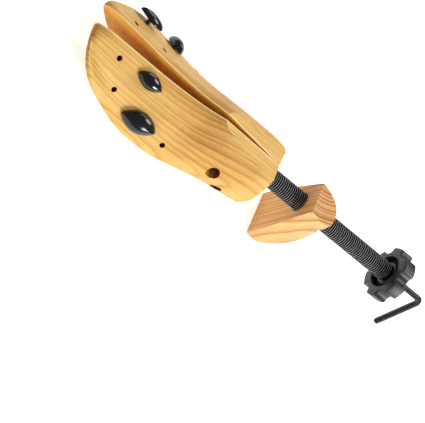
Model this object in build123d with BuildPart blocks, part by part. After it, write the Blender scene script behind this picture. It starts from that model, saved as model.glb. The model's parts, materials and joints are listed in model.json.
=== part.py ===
"""Adjustable shoe tree: a split wooden forepart, a heel block on a hollow length screw, and a crank.

Row frame, millimetres: +X towards the toe, +Y to the tree's left, +Z up. The origin is the centre of
the heel block's bottom face, so the tree stands on Z = 0. The length screw rises towards the heel, and
most of the mechanism lies along it. Places along it are given by `ahead`, the distance towards the toe
from a datum on the screw's axis just behind the heel block's front face. Heights square to the screw
are counted from its axis.
"""

import math
import os

from build123d import *

os.makedirs("parts", exist_ok=True)

# ---- Driving dimensions ------------------------------------------------------------------------

SCREW_TILT = 13.0        # the screw's rise towards the heel, degrees
DATUM_X = 26.0           # the datum on the screw's axis
DATUM_Z = 55.0

HINGE_AHEAD = 50.0       # the hinge pins, which the two halves of the forepart swing on
REST_SWING = 2.3         # each half's angle from closed as stored, degrees
MOST_SWING = 5.1         # each half's angle from closed when the crank is wound right in
SPLIT_GAP = 0.15         # half the gap between the closed halves
REAR_AHEAD = 44.5        # the forepart's rear end

SCREW_R = 8.0
SCREW_PITCH = 2.0
THREAD_DEPTH = 0.9
SCREW_BORE_R = 3.2
JOURNAL_R = 5.5          # the screw's plain front end, which turns in the hinge block
ROD_FLATS = 5.0          # the hexagonal crank rod, across its flats
RUNNING = 0.05           # radial clearance of every running fit

BLOCK_REAR = 45.0        # the hinge block
BLOCK_FRONT = 59.0
BLOCK_HALF_WIDTH = 9.0
BLOCK_HALF_HEIGHT = 11.0
PIN_R = 2.5
LEAF_Y = 10.5            # inner face of a hinge leaf, from the split
LEAF_T = 2.0

WEDGE_REAR = 88.0
WEDGE_LENGTH = 30.0
WEDGE_TIP_HALF = 5.0     # half the wedge's thickness at its thin end
WEDGE_SLOPE = 0.3
WEDGE_HALF_HEIGHT = 9.0
SPINDLE_R = 3.0
PLATE_Y = 9.0            # a wear plate's inner face, from the split
PLATE_T = 2.0

KNOB_FRONT = -101.0
KNOB_T = 12.5
KNOB_R = 22.6
ARM_AHEAD = -147.3       # the crank's arm
ARM_LENGTH = 49.0
ARM_LEAN = 18.0          # the arm's lean to the left of straight down, degrees

# ---- Frames ------------------------------------------------------------------------------------

tilt = math.radians(SCREW_TILT)
FORWARD = Vector(math.cos(tilt), 0, -math.sin(tilt))
UP = Vector(math.sin(tilt), 0, math.cos(tilt))
DATUM = Vector(DATUM_X, 0, DATUM_Z)


def along(ahead):
    """A plane square to the screw: local x to the left, local y up, z towards the toe."""
    return Plane(origin=DATUM + FORWARD * ahead, x_dir=(0, 1, 0), z_dir=FORWARD)


def above(height):
    """A plane square to the hinge pins: local x towards the toe from the pins, local y to the left."""
    return Plane(origin=DATUM + FORWARD * HINGE_AHEAD + UP * height, x_dir=FORWARD, z_dir=UP)


def beside(left):
    """A plane along the split: local x is `ahead`, local y up, and z to the right."""
    return Plane(origin=DATUM + Vector(0, left, 0), x_dir=FORWARD, z_dir=(0, -1, 0))


def save(shape, name):
    shape.label = name
    export_step(shape, f"parts/{name}.step")


def swung(shape, side):
    """A piece made for the closed left half, moved to the left or right half as stored."""
    if side == "right":
        shape = mirror(shape, about=Plane.XZ)
    hinge = above(0)
    turn = REST_SWING if side == "left" else -REST_SWING
    return shape.rotate(Axis(hinge.origin, hinge.z_dir), turn)


# ---- The forepart's shape ----------------------------------------------------------------------

# Sections from the rear to the toe, for the closed left half: distance ahead of the datum along the
# floor, height of the crown, height of the underside, half width, height of the widest point, and how
# full the flank is (0 a straight slope, 1 an ellipse).
SECTIONS = [
    (26, 69.5, 19.0, 26.0, 42, 1.00),
    (48, 69.5, 16.0, 27.5, 40, 1.00),
    (68, 67.5, 11.0, 29.2, 33, 0.88),
    (88, 65.0, 5.0, 31.6, 23, 0.68),
    (104, 60.5, 1.8, 34.0, 15, 0.56),
    (120, 53.5, 0.0, 36.2, 9, 0.48),
    (141, 46.8, 0.0, 37.5, 6, 0.44),
    (158, 43.0, 0.3, 37.4, 5.5, 0.40),
    (175, 40.0, 2.6, 35.4, 7.5, 0.36),
    (192, 37.6, 6.8, 32.0, 10.5, 0.33),
    (207, 35.4, 12.0, 27.2, 15, 0.33),
    (219, 33.4, 17.6, 20.9, 20, 0.40),
    (227, 31.0, 22.4, 14.2, 24.2, 0.60),
    (231, 28.6, 25.2, 6.2, 26.6, 0.80),
]
TOE_SKEW = 0.26          # at the toe the left half is wider than the mean, and the right half narrower
SKEW_START = 175.0       # the skew grows from here, along the floor
SKEW_RUN = 45.0
FLANK_TURNS = (0, 24, 45, 66, 90)
EDGE_WIDTH = 0.93        # the sole's edge, as a share of the half width
EDGE_HEIGHT = 0.36       # and as a share of the widest point's height above the underside
TREAD_WIDTH = 0.66       # the flat tread, as a share of the half width

FACET_AHEAD = 110.8      # the instep's peak, along the floor, and its height
FACET_Z = 58.0
FACET_RISE = 7.4         # the flat top's rise from the peak to the rear, degrees

rise = math.radians(FACET_RISE)
facet = Plane(
    origin=(DATUM_X + FACET_AHEAD, 0, FACET_Z),
    x_dir=(0, 1, 0),
    z_dir=(math.sin(rise), 0, math.cos(rise)),
)


def flank_point(turn, crown, half_width, widest, fullness):
    """A point on a flank, between a straight slope and an ellipse, `turn` degrees from the crown."""
    share = turn / 90
    across = (1 - fullness) * share + fullness * math.sin(math.radians(turn))
    height = (1 - fullness) * (1 - share) + fullness * math.cos(math.radians(turn))
    return (half_width * across, widest + (crown - widest) * height)


def width_share(ahead, side):
    """How wide one half is at a place along the floor, as a share of the mean of the two halves."""
    skew = TOE_SKEW * (max(0, ahead - SKEW_START) / SKEW_RUN) ** 2
    return 1 + skew if side == "left" else 1 - skew


# Plug holes of a closed half of mean width: the mouth's place (ahead along the floor, left, up from the
# floor), and the way out of the hole.
PLUG_HOLES = {
    "toe": ((202.7, 9.6, 31.3), (0.08, 0.55, 0.83)),
    "toe_side": ((186.8, 24.9, 20.3), (0.04, 0.65, 0.76)),
    "crown": ((172.9, 9.1, 35.8), (0.13, 0.64, 0.76)),
    "ball": ((153.4, 29.6, 18.9), (0.09, 0.73, 0.68)),
    "waist": ((124.8, 31.2, 20.9), (0.10, 0.79, 0.61)),
}
PLUG_HOLE_R = 2.2
PLUG_HOLE_DEPTH = 12.0
CLEAR_OF_WOOD = 15.0     # a start well outside the wood for a cut that goes into it

SIDE_HOLES = [(84.0, 1.0), (66.4, -16.5)]      # ahead, and up from the screw's axis
SIDE_HOLE_R = 5.2
SIDE_HOLE_SEAT = 19.0    # the bottom of the side holes, from the split
SIDE_HOLE_START = 45.0
SHANK_HOLE_R = 2.75

BAY_TOP = 15.8           # the hinge bay, which holds the leaves and the hinge block
BAY_BOTTOM = -21.5
BAY_FRONT = 92.0
PLATE_FRONT = 106.0      # the wear plates' bay, then the wedge's bay
WEDGE_BAY_FRONT = 133.0
WEDGE_BAY_Y = 15.0
WEDGE_BAY_HALF_HEIGHT = 9.6
PAST_SPLIT = 1.0         # how far the bays' cuts start beyond the split

PLATE_SCREWS = [(94.8, 0), (103.2, 0)]
PLATE_SCREW_R = 1.5
PLATE_SCREW_REACH = 11.0

RELIEF = 0.1             # spare room behind the hinge when the halves are open widest
RELIEF_BEHIND = 9.5      # how far the relief runs behind the pins, and in front of them
RELIEF_FRONT = 2.0
RELIEF_HEIGHT = 80.0

# Where the bays lie, cut outwards from the split: rear, front, bottom, top, depth. They are the
# hinge's and the leaves', the wear plate's, and the wedge's.
bays = [
    (REAR_AHEAD - 2, BAY_FRONT, BAY_BOTTOM, BAY_TOP, LEAF_Y + LEAF_T),
    (BAY_FRONT - 1, PLATE_FRONT, -WEDGE_BAY_HALF_HEIGHT, WEDGE_BAY_HALF_HEIGHT, PLATE_Y + PLATE_T),
    (PLATE_FRONT - 1, WEDGE_BAY_FRONT, -WEDGE_BAY_HALF_HEIGHT, WEDGE_BAY_HALF_HEIGHT, WEDGE_BAY_Y),
]
relief_y = SPLIT_GAP + RELIEF
open_y = relief_y + RELIEF_BEHIND * math.tan(math.radians(MOST_SWING))


def plug_plane(hole, side, out, turn=0):
    """A plane square to a plug hole's axis, `out` from the wood's surface.

    Its local x points to the toe, turned about the hole's axis by `turn` degrees. It is given as on the
    left, and swung() mirrors it for the right half.
    """
    (ahead, left, height), (out_ahead, out_left, out_up) = PLUG_HOLES[hole]
    share = width_share(ahead, side)
    outward = Vector(out_ahead, out_left / share, out_up).normalized()
    mouth = Vector(DATUM_X + ahead, left * share, height)
    toeward = Vector(0, 1, 0).cross(outward)
    length_way = toeward.rotate(Axis((0, 0, 0), outward), turn)
    return Plane(origin=mouth + outward * out, x_dir=length_way, z_dir=outward)


for side in ("left", "right"):
    with BuildPart() as closed_half:
        for ahead, crown, under, half_width, widest, fullness in SECTIONS:
            width = half_width * width_share(ahead, side)
            flank = [flank_point(turn, crown, width, widest, fullness) for turn in FLANK_TURNS]
            edge = (width * EDGE_WIDTH, under + (widest - under) * EDGE_HEIGHT)
            tread = (width * TREAD_WIDTH, under)
            with BuildSketch(Plane.YZ.offset(DATUM_X + ahead)):
                with BuildLine():
                    Spline(*flank, tangents=((1, -0.05), (0, -1)))
                    Spline((width, widest), edge, tread, tangents=((0, -1), (-1, 0)))
                    Polyline(tread, (0, under), (0, crown))
                make_face()
        loft()
        split(bisect_by=facet, keep=Keep.BOTTOM)
        split(bisect_by=along(REAR_AHEAD), keep=Keep.TOP)
        split(bisect_by=Plane.XZ.offset(-SPLIT_GAP), keep=Keep.BOTTOM)
        # relief behind the hinge, so that the open halves clear each other there
        with BuildSketch(above(0)):
            with BuildLine():
                Polyline((RELIEF_FRONT, -PAST_SPLIT), (RELIEF_FRONT, relief_y), (0, relief_y),
                         (-RELIEF_BEHIND, open_y), (-RELIEF_BEHIND, -PAST_SPLIT), close=True)
            make_face()
        extrude(amount=RELIEF_HEIGHT, both=True, mode=Mode.SUBTRACT)
        # the bays, cut outwards from the split: hinge and leaves, wear plate, wedge
        for rear, front, bottom, top, depth in bays:
            with BuildSketch(beside(-PAST_SPLIT)):
                with Locations(((rear + front) / 2, (bottom + top) / 2)):
                    Rectangle(front - rear, top - bottom)
            extrude(amount=-(depth + PAST_SPLIT), mode=Mode.SUBTRACT)
        # the large side holes, stepped down to the leaf screws
        with BuildSketch(beside(SIDE_HOLE_START)):
            with Locations(*SIDE_HOLES):
                Circle(SIDE_HOLE_R)
        extrude(amount=SIDE_HOLE_START - SIDE_HOLE_SEAT, mode=Mode.SUBTRACT)
        with BuildSketch(beside(SIDE_HOLE_START)):
            with Locations(*SIDE_HOLES):
                Circle(SHANK_HOLE_R)
        extrude(amount=SIDE_HOLE_START - LEAF_Y, mode=Mode.SUBTRACT)
        with BuildSketch(beside(PLATE_Y + PLATE_T)):
            with Locations(*PLATE_SCREWS):
                Circle(PLATE_SCREW_R)
        extrude(amount=-PLATE_SCREW_REACH, mode=Mode.SUBTRACT)
        for hole in PLUG_HOLES:
            with BuildSketch(plug_plane(hole, side, CLEAR_OF_WOOD)):
                Circle(PLUG_HOLE_R)
            extrude(amount=-(PLUG_HOLE_DEPTH + CLEAR_OF_WOOD), mode=Mode.SUBTRACT)
    save(swung(closed_half.part, side), f"{side}_last_half")

# ---- The hinge ---------------------------------------------------------------------------------

TAB_HEIGHTS = {"left": 11.3, "right": 13.1}    # underside of each leaf's upper tab, from the axis
TAB_T = 1.5
TAB_R = 4.5              # round end of a tab, about the pin
LEAF_SHOULDER = 62.0     # the leaf's outline: top edge's front end, nose, and bottom edge
LEAF_FRONT = 91.0
LEAF_NOSE = 7.5
LEAF_BOTTOM = -21.0
LEAF_BOTTOM_REAR = 56.0
LEAF_BOTTOM_FRONT = 74.0
LEAF_SCREW_R = 2.5
LEAF_HEAD_R = 4.5
LEAF_HEAD_T = 3.2
CROSS_LENGTH = 6.4       # the cross recess of a leaf screw
CROSS_WIDTH = 1.2
CROSS_DEPTH = 1.8
PIN_FOOT = 6.5           # a pin's inner end, from the axis
PIN_LENGTH = 8.7
BLOCK_CORNER_R = 1.5

for side, tab in TAB_HEIGHTS.items():
    with BuildPart() as leaf:
        with BuildSketch(beside(LEAF_Y)):
            with BuildLine():
                tab_rear = HINGE_AHEAD - TAB_R
                tab_outer = tab + TAB_T
                Polyline((tab_rear, tab_outer), (LEAF_SHOULDER, tab_outer), (LEAF_FRONT, LEAF_NOSE),
                         (LEAF_FRONT, -LEAF_NOSE), (LEAF_BOTTOM_FRONT, LEAF_BOTTOM),
                         (LEAF_BOTTOM_REAR, LEAF_BOTTOM), (tab_rear, -tab_outer), close=True)
            make_face()
            with Locations(*SIDE_HOLES):
                Circle(LEAF_SCREW_R, mode=Mode.SUBTRACT)
        extrude(amount=-LEAF_T)
        for height in (tab, -tab_outer):
            with BuildSketch(above(height)):
                with Locations((0, (LEAF_Y + LEAF_T / 2) / 2)):
                    Rectangle(2 * TAB_R, LEAF_Y + LEAF_T / 2)
                Circle(TAB_R)
                Circle(PIN_R + RUNNING, mode=Mode.SUBTRACT)
            extrude(amount=TAB_T)
    save(swung(leaf.part, side), f"{side}_hinge_leaf")

with BuildPart() as leaf_screws:
    for place in SIDE_HOLES:
        with BuildSketch(beside(SIDE_HOLE_SEAT)):
            with Locations(place):
                Circle(LEAF_HEAD_R)
        extrude(amount=-LEAF_HEAD_T)
        with BuildSketch(beside(SIDE_HOLE_SEAT + LEAF_HEAD_T)):
            with Locations(place):
                Rectangle(CROSS_LENGTH, CROSS_WIDTH)
                Rectangle(CROSS_WIDTH, CROSS_LENGTH)
        extrude(amount=CROSS_DEPTH, mode=Mode.SUBTRACT)
        with BuildSketch(beside(SIDE_HOLE_SEAT)):
            with Locations(place):
                Circle(LEAF_SCREW_R)
        extrude(amount=SIDE_HOLE_SEAT - LEAF_Y)
for side in ("left", "right"):
    save(swung(leaf_screws.part, side), f"{side}_leaf_screws")

with BuildPart() as hinge_block:
    with BuildSketch(along(BLOCK_REAR)):
        RectangleRounded(2 * BLOCK_HALF_WIDTH, 2 * BLOCK_HALF_HEIGHT, BLOCK_CORNER_R)
        Circle(JOURNAL_R + RUNNING, mode=Mode.SUBTRACT)
    extrude(amount=BLOCK_FRONT - BLOCK_REAR)
    for end in (1, -1):
        with BuildSketch(above(end * PIN_FOOT)):
            Circle(PIN_R)
        extrude(amount=end * PIN_LENGTH, mode=Mode.SUBTRACT)
save(hinge_block.part, "hinge_block")

with BuildPart() as hinge_pins:
    for end in (1, -1):
        with BuildSketch(above(end * PIN_FOOT)):
            Circle(PIN_R)
        extrude(amount=end * PIN_LENGTH)
save(hinge_pins.part, "hinge_pins")

# ---- The length screw, its knob and its bearing in the hinge block ------------------------------

THREAD_FRONT = 44.4
THREAD_REAR = -103.0
SCREW_REAR = -109.0
CREST_START = 0.6        # one thread in section, from the start of each pitch
CREST_END = 1.1
THREAD_END = 1.7
RING_GAP = 0.15          # end play of the retaining ring in front of the hinge block
RING_T = 1.2
RING_R = 7.9
RING_SEAT_R = 4.7
RING_MOUTH = 5.0
GROOVE_LIP = 0.5         # the screw's end beyond the ring
KNOB_PIN_AHEAD = -106.0
KNOB_PIN_R = 1.25
KNOB_PIN_FOOT = 3.5      # a knob pin's inner end, from the axis

thread_turns = int((THREAD_FRONT - THREAD_REAR - 1) / SCREW_PITCH)
root_r = SCREW_R - THREAD_DEPTH
ring_rear = BLOCK_FRONT + RING_GAP
journal_front = ring_rear + RING_T + GROOVE_LIP
profile = [(SCREW_BORE_R, SCREW_REAR), (root_r, SCREW_REAR), (root_r, THREAD_REAR)]
for turn in range(thread_turns):
    start = THREAD_REAR + turn * SCREW_PITCH
    profile += [(SCREW_R, start + CREST_START), (SCREW_R, start + CREST_END), (root_r, start + THREAD_END)]
profile += [(root_r, THREAD_FRONT), (JOURNAL_R, THREAD_FRONT), (JOURNAL_R, journal_front)]
profile += [(SCREW_BORE_R, journal_front)]

with BuildPart() as length_screw:
    with BuildSketch(Plane(origin=DATUM, x_dir=UP, z_dir=(0, 1, 0))):
        with BuildLine():
            Polyline(*profile, close=True)
        make_face()
    revolve(axis=Axis(DATUM, FORWARD))
    with BuildSketch(along(ring_rear)):
        Circle(JOURNAL_R + 1)
        Circle(RING_SEAT_R, mode=Mode.SUBTRACT)
    extrude(amount=RING_T, mode=Mode.SUBTRACT)
    with BuildSketch(beside(0)):
        with Locations((KNOB_PIN_AHEAD, 0)):
            Circle(KNOB_PIN_R)
    extrude(amount=SCREW_R, both=True, mode=Mode.SUBTRACT)
save(length_screw.part, "length_screw")

with BuildPart() as retaining_ring:
    with BuildSketch(along(ring_rear)):
        Circle(RING_R)
        Circle(RING_SEAT_R, mode=Mode.SUBTRACT)
        with Locations((0, -RING_R + 1)):
            Rectangle(RING_MOUTH, RING_R, mode=Mode.SUBTRACT)
    extrude(amount=RING_T)
save(retaining_ring.part, "screw_retaining_ring")

LOBES = 6
NOTCH_R = 6.2
NOTCH_CENTRE_R = 24.6
FIRST_NOTCH = 10.0       # degrees from the left
KNOB_EDGE_R = 0.9
RECESS_R = 14.2
RECESS_DEPTH = 8.0
BOSS_R = 10.0            # round the screw's end, in the recess
BOSS_SET_BACK = 2.5

with BuildPart() as length_knob:
    with BuildSketch(along(KNOB_FRONT)):
        Circle(KNOB_R)
        with PolarLocations(NOTCH_CENTRE_R, LOBES, start_angle=FIRST_NOTCH):
            Circle(NOTCH_R, mode=Mode.SUBTRACT)
    extrude(amount=-KNOB_T)
    rims = length_knob.edges().filter_by(GeomType.LINE, reverse=True)
    fillet(rims, KNOB_EDGE_R)
    with BuildSketch(along(KNOB_FRONT)):
        Circle(RECESS_R)
        Circle(BOSS_R, mode=Mode.SUBTRACT)
    extrude(amount=-RECESS_DEPTH, mode=Mode.SUBTRACT)
    with BuildSketch(along(KNOB_FRONT)):
        Circle(BOSS_R + 1)
    extrude(amount=-BOSS_SET_BACK, mode=Mode.SUBTRACT)
    with BuildSketch(along(KNOB_FRONT)):
        Circle(root_r)
    extrude(amount=SCREW_REAR - KNOB_FRONT, mode=Mode.SUBTRACT)
    with BuildSketch(along(KNOB_FRONT)):
        Circle(SCREW_BORE_R)
    extrude(amount=-KNOB_T, mode=Mode.SUBTRACT)
    with BuildSketch(beside(0)):
        with Locations((KNOB_PIN_AHEAD, 0)):
            Circle(KNOB_PIN_R)
    extrude(amount=BOSS_R, both=True, mode=Mode.SUBTRACT)
save(length_knob.part, "length_knob")

with BuildPart() as knob_pins:
    for end in (1, -1):
        with BuildSketch(beside(end * KNOB_PIN_FOOT)):
            with Locations((KNOB_PIN_AHEAD, 0)):
                Circle(KNOB_PIN_R)
        extrude(amount=-end * (BOSS_R - KNOB_PIN_FOOT))
save(knob_pins.part, "knob_pins")

# ---- The crank ---------------------------------------------------------------------------------

BEND_R = 5.5
ROD_FRONT = 67.0
HEAD_REAR = 62.0         # the spindle's head, which takes the rod's front end
HEAD_FRONT = 71.0
HEAD_R = 5.0
SPINDLE_FRONT = 124.0
SPINDLE_PIN_AHEAD = 64.5
SPINDLE_PIN_R = 0.8
SPINDLE_PIN_HALF = 4.8
WASHER_REAR = 61.0
WASHER_T = 0.9
WASHER_R = 6.5
COLLAR_GAP = 0.2         # end play of the collar behind the knob
COLLAR_T = 6.5
COLLAR_R = 6.0
COLLAR_SCREW_R = 1.5
COLLAR_SCREW_FOOT = 3.0  # the set screw's inner end, from the axis
COLLAR_SCREW_LENGTH = 2.6
SOCKET_R = 0.75
SOCKET_DEPTH = 1.4

lean = math.radians(ARM_LEAN)
arm_way = Vector(0, math.sin(lean), 0) - UP * math.cos(lean)
bend = DATUM + FORWARD * ARM_AHEAD
collar_front = KNOB_FRONT - KNOB_T - COLLAR_GAP
collar_middle = collar_front - COLLAR_T / 2

with BuildPart() as crank_rod:
    with BuildLine():
        FilletPolyline(DATUM + FORWARD * ROD_FRONT, bend, bend + arm_way * ARM_LENGTH, radius=BEND_R)
    with BuildSketch(along(ROD_FRONT)):
        RegularPolygon(ROD_FLATS / 2, 6, major_radius=False)
    sweep()
    with BuildSketch(beside(0)):
        with Locations((SPINDLE_PIN_AHEAD, 0)):
            Circle(SPINDLE_PIN_R)
    extrude(amount=HEAD_R, both=True, mode=Mode.SUBTRACT)
save(crank_rod.part, "crank_rod")

with BuildPart() as spindle:
    with BuildSketch(along(HEAD_REAR)):
        Circle(HEAD_R)
    extrude(amount=HEAD_FRONT - HEAD_REAR)
    with BuildSketch(along(HEAD_FRONT)):
        Circle(SPINDLE_R)
    extrude(amount=SPINDLE_FRONT - HEAD_FRONT)
    with BuildSketch(along(HEAD_REAR)):
        RegularPolygon(ROD_FLATS / 2, 6, major_radius=False)
    extrude(amount=ROD_FRONT - HEAD_REAR, mode=Mode.SUBTRACT)
    with BuildSketch(beside(0)):
        with Locations((SPINDLE_PIN_AHEAD, 0)):
            Circle(SPINDLE_PIN_R)
    extrude(amount=HEAD_R, both=True, mode=Mode.SUBTRACT)
save(spindle.part, "spreader_spindle")

with BuildPart() as spindle_pin:
    with BuildSketch(beside(0)):
        with Locations((SPINDLE_PIN_AHEAD, 0)):
            Circle(SPINDLE_PIN_R)
    extrude(amount=SPINDLE_PIN_HALF, both=True)
save(spindle_pin.part, "spindle_pin")

with BuildPart() as thrust_washer:
    with BuildSketch(along(WASHER_REAR)):
        Circle(WASHER_R)
        Circle(SCREW_BORE_R, mode=Mode.SUBTRACT)
    extrude(amount=WASHER_T)
save(thrust_washer.part, "thrust_washer")

with BuildPart() as rod_collar:
    with BuildSketch(along(collar_front)):
        Circle(COLLAR_R)
        RegularPolygon(ROD_FLATS / 2, 6, major_radius=False, mode=Mode.SUBTRACT)
    extrude(amount=-COLLAR_T)
    with BuildSketch(beside(0)):
        with Locations((collar_middle, 0)):
            Circle(COLLAR_SCREW_R)
    extrude(amount=-COLLAR_R, mode=Mode.SUBTRACT)
save(rod_collar.part, "rod_collar")

with BuildPart() as collar_screw:
    with BuildSketch(beside(COLLAR_SCREW_FOOT)):
        with Locations((collar_middle, 0)):
            Circle(COLLAR_SCREW_R)
    extrude(amount=-COLLAR_SCREW_LENGTH)
    with BuildSketch(beside(COLLAR_SCREW_FOOT + COLLAR_SCREW_LENGTH)):
        with Locations((collar_middle, 0)):
            RegularPolygon(SOCKET_R, 6, major_radius=False)
    extrude(amount=SOCKET_DEPTH, mode=Mode.SUBTRACT)
save(collar_screw.part, "collar_screw")

# ---- The spreader --------------------------------------------------------------------------------

NUT_R = 5.0
NUT_LENGTH = 10.0
WEDGE_BORE_R = 3.3
RIDGE_R = 2.0            # rounded ridge of a wear plate, which the wedge's face slides on
RIDGE_ARM = 50.0         # from the hinge pins to the ridge
RIDGE_GAP = 0.2
PLATE_END_GAP = 0.6      # a wear plate is this much shorter than its bay
PLATE_HEAD_R = 2.8
PLATE_HEAD_T = 1.3

wedge_front = WEDGE_REAR + WEDGE_LENGTH
wedge_wide = WEDGE_TIP_HALF + WEDGE_SLOPE * WEDGE_LENGTH

with BuildPart() as spreader_wedge:
    with BuildSketch(above(-WEDGE_HALF_HEIGHT)):
        with BuildLine():
            rear = WEDGE_REAR - HINGE_AHEAD
            front = wedge_front - HINGE_AHEAD
            Polyline((rear, WEDGE_TIP_HALF), (front, wedge_wide), (front, -wedge_wide),
                     (rear, -WEDGE_TIP_HALF), close=True)
        make_face()
    extrude(amount=2 * WEDGE_HALF_HEIGHT)
    with BuildSketch(along(WEDGE_REAR)):
        Circle(WEDGE_BORE_R)
    extrude(amount=WEDGE_LENGTH, mode=Mode.SUBTRACT)
    with BuildSketch(along(wedge_front)):
        Circle(NUT_R)
    extrude(amount=-NUT_LENGTH, mode=Mode.SUBTRACT)
save(spreader_wedge.part, "spreader_wedge")

with BuildPart() as spreader_nut:
    with BuildSketch(along(wedge_front)):
        Circle(NUT_R)
        Circle(SPINDLE_R + RUNNING, mode=Mode.SUBTRACT)
    extrude(amount=-NUT_LENGTH)
save(spreader_nut.part, "spreader_nut")

# The ridge's centre, so that at rest it stands RIDGE_GAP clear of the wedge's sloping face.
swing = math.radians(REST_SWING)
ridge_ahead = HINGE_AHEAD + RIDGE_ARM * math.cos(swing)
wedge_half = WEDGE_TIP_HALF + WEDGE_SLOPE * (ridge_ahead - WEDGE_REAR)
ridge_y = wedge_half + (RIDGE_R + RIDGE_GAP) * math.hypot(1, WEDGE_SLOPE) - RIDGE_ARM * math.sin(swing)

with BuildPart() as wear_plate:
    with BuildSketch(beside(PLATE_Y)):
        with Locations(((BAY_FRONT + PLATE_FRONT) / 2, 0)):
            Rectangle(PLATE_FRONT - BAY_FRONT - PLATE_END_GAP, 2 * WEDGE_HALF_HEIGHT)
    extrude(amount=-PLATE_T)
    with BuildSketch(above(-WEDGE_HALF_HEIGHT)):
        with Locations((RIDGE_ARM, ridge_y)):
            Circle(RIDGE_R)
    extrude(amount=2 * WEDGE_HALF_HEIGHT)
    with Locations(beside(PLATE_Y)):
        with Locations(*[(ahead, up, 0) for ahead, up in PLATE_SCREWS]):
            Cone(PLATE_SCREW_R, PLATE_HEAD_R, PLATE_HEAD_T,
                 align=(Align.CENTER, Align.CENTER, Align.MAX), mode=Mode.SUBTRACT)
    with BuildSketch(beside(PLATE_Y)):
        with Locations(*PLATE_SCREWS):
            Circle(PLATE_SCREW_R)
    extrude(amount=-PLATE_T, mode=Mode.SUBTRACT)
for side in ("left", "right"):
    save(swung(wear_plate.part, side), f"{side}_wear_plate")

with BuildPart() as plate_screws:
    with BuildSketch(beside(PLATE_Y + PLATE_HEAD_T)):
        with Locations(*PLATE_SCREWS):
            Circle(PLATE_SCREW_R)
    extrude(amount=-(PLATE_SCREW_REACH + PLATE_T - PLATE_HEAD_T))
    with Locations(beside(PLATE_Y)):
        with Locations(*[(ahead, up, 0) for ahead, up in PLATE_SCREWS]):
            Cone(PLATE_SCREW_R, PLATE_HEAD_R, PLATE_HEAD_T,
                 align=(Align.CENTER, Align.CENTER, Align.MAX))
for side in ("left", "right"):
    save(swung(plate_screws.part, side), f"{side}_plate_screws")

# ---- The heel block ----------------------------------------------------------------------------

HEEL_LEAN = 15.2         # the front face leans towards the toe at the top, degrees
HEEL_FACE_AHEAD = 0.3    # where the screw's axis meets the front face
HEEL_TOP = 22.2          # the top edge, up the front face from the screw's axis
HEEL_TOP_FALL = 5.9      # the top's fall towards the rear, degrees
# Sections square to the front face: height up it from the screw's axis, half width, depth.
HEEL_SECTIONS = [
    (-74, 19.0, 15.0),
    (-64, 19.2, 25.0),
    (-54, 19.2, 31.8),
    (-42, 18.8, 34.8),
    (-26, 17.8, 34.4),
    (-10, 16.4, 32.0),
    (6, 14.8, 29.6),
    (20, 13.2, 26.8),
    (34, 12.0, 23.8),
]
SIDE_WIDTH = 0.97        # a section's outline, as shares of its half width and depth
SIDE_DEPTH = 0.45
BACK_WIDTH = 0.70
BACK_DEPTH = 0.83
HEEL_BORE_R = 8.4
HEEL_NUT_R = 11.0
HEEL_NUT_FRONT = -8.0
HEEL_NUT_REAR = -22.0
CLEAR_OF_HEEL = 20.0     # a start well in front of the block for a cut through it
THROUGH_HEEL = 80.0

heel_lean = math.radians(HEEL_LEAN)
heel_fall = math.radians(HEEL_TOP_FALL)
HEEL_UP = Vector(math.sin(heel_lean), 0, math.cos(heel_lean))
HEEL_FACE = DATUM + FORWARD * HEEL_FACE_AHEAD


def heel_level(height):
    """A plane square to the heel block's front face: local x to the left, local y to the rear."""
    return Plane(origin=HEEL_FACE + HEEL_UP * height, x_dir=(0, 1, 0), z_dir=HEEL_UP)


heel_top = Plane(
    origin=HEEL_FACE + HEEL_UP * HEEL_TOP,
    x_dir=(0, 1, 0),
    z_dir=(-math.sin(heel_fall), 0, math.cos(heel_fall)),
)

with BuildPart() as heel_block:
    for height, half_width, depth in HEEL_SECTIONS:
        with BuildSketch(heel_level(height)):
            with BuildLine():
                right_side = [(half_width, 0), (half_width * SIDE_WIDTH, depth * SIDE_DEPTH),
                              (half_width * BACK_WIDTH, depth * BACK_DEPTH), (0, depth)]
                left_side = [(-across, back) for across, back in reversed(right_side)]
                Spline(*right_side, tangents=((0, 1), (-1, 0)))
                Spline(*left_side, tangents=((-1, 0), (0, -1)))
                Line(left_side[-1], right_side[0])
            make_face()
    loft()
    split(bisect_by=Plane.XY, keep=Keep.TOP)
    split(bisect_by=heel_top, keep=Keep.BOTTOM)
    with BuildSketch(along(CLEAR_OF_HEEL)):
        Circle(HEEL_BORE_R)
    extrude(amount=-THROUGH_HEEL, mode=Mode.SUBTRACT)
    with BuildSketch(along(HEEL_NUT_FRONT)):
        Circle(HEEL_NUT_R)
    extrude(amount=-THROUGH_HEEL, mode=Mode.SUBTRACT)
save(heel_block.part, "heel_block")

with BuildPart() as heel_nut:
    with BuildSketch(along(HEEL_NUT_FRONT)):
        Circle(HEEL_NUT_R)
        Circle(SCREW_R + RUNNING, mode=Mode.SUBTRACT)
    extrude(amount=HEEL_NUT_REAR - HEEL_NUT_FRONT)
save(heel_nut.part, "heel_nut")

# ---- The bunion and corn plugs -----------------------------------------------------------------

STEM_LENGTH = 9.0
# A dome's levels: height as a share of the dome's, and size as a share of its foot's.
DOME_LEVELS = [(0.0, 1.0), (0.35, 0.94), (0.65, 0.77), (0.88, 0.5), (1.0, 0.2)]

# name, half it belongs to, hole, length, width, height, how far it stands out, turn about its stem
PLUGS = [
    ("left_small_plug", "left", "crown", 24.5, 12.0, 5.5, 0.5, -3),
    ("left_large_plug", "left", "ball", 32.0, 17.0, 7.0, 1.0, 6),
    ("right_toe_plug", "right", "toe_side", 24.5, 12.0, 5.5, 3.5, 4),
    ("right_ball_plug", "right", "ball", 24.5, 13.0, 7.0, 1.4, 84),
]


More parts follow.
